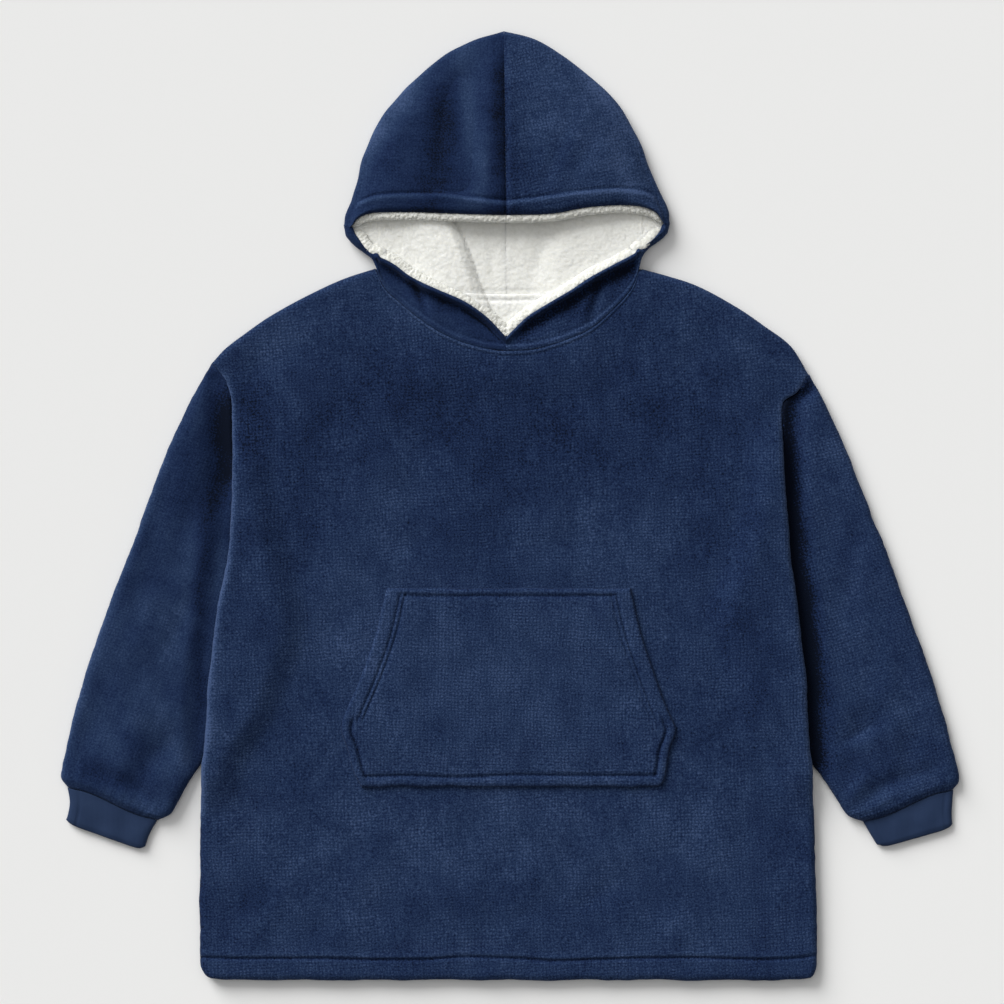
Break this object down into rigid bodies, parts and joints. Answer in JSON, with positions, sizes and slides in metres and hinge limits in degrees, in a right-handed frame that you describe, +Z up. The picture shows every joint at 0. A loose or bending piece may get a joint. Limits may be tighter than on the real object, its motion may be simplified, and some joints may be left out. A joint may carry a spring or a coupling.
{
  "type": "wearable blanket hoodie",
  "caption": "Oversized hooded wearable blanket of plush flannel with a sherpa-lined hood, long sleeves with jersey cuffs and a kangaroo pocket, laid flat front up.",
  "frame": {"origin": "on the table the garment lies on, under the middle of its outline", "axes": "+Y from the hem towards the hood, +Z up from the table through the front, +X to the right as seen from above, the wearer's left"},
  "size_m": [1.1644, 1.23, 0.0375],
  "materials": {
    "navy_flannel": "brushed plush flannel with a soft, patchy nap",
    "white_sherpa": "curly sherpa pile",
    "navy_jersey": "smooth matt jersey knit"
  },
  "bodies": {
    "root": {"front_panel": "navy_flannel", "back_panel": "navy_flannel", "left_sleeve": "navy_flannel", "right_sleeve": "navy_flannel", "left_cuff": "navy_jersey", "right_cuff": "navy_jersey", "left_hood": "navy_flannel", "right_hood": "navy_flannel", "left_hood_lining": "white_sherpa", "right_hood_lining": "white_sherpa", "neck_facing": "white_sherpa", "kangaroo_pocket": "navy_flannel"}
  },
  "joints": []
}
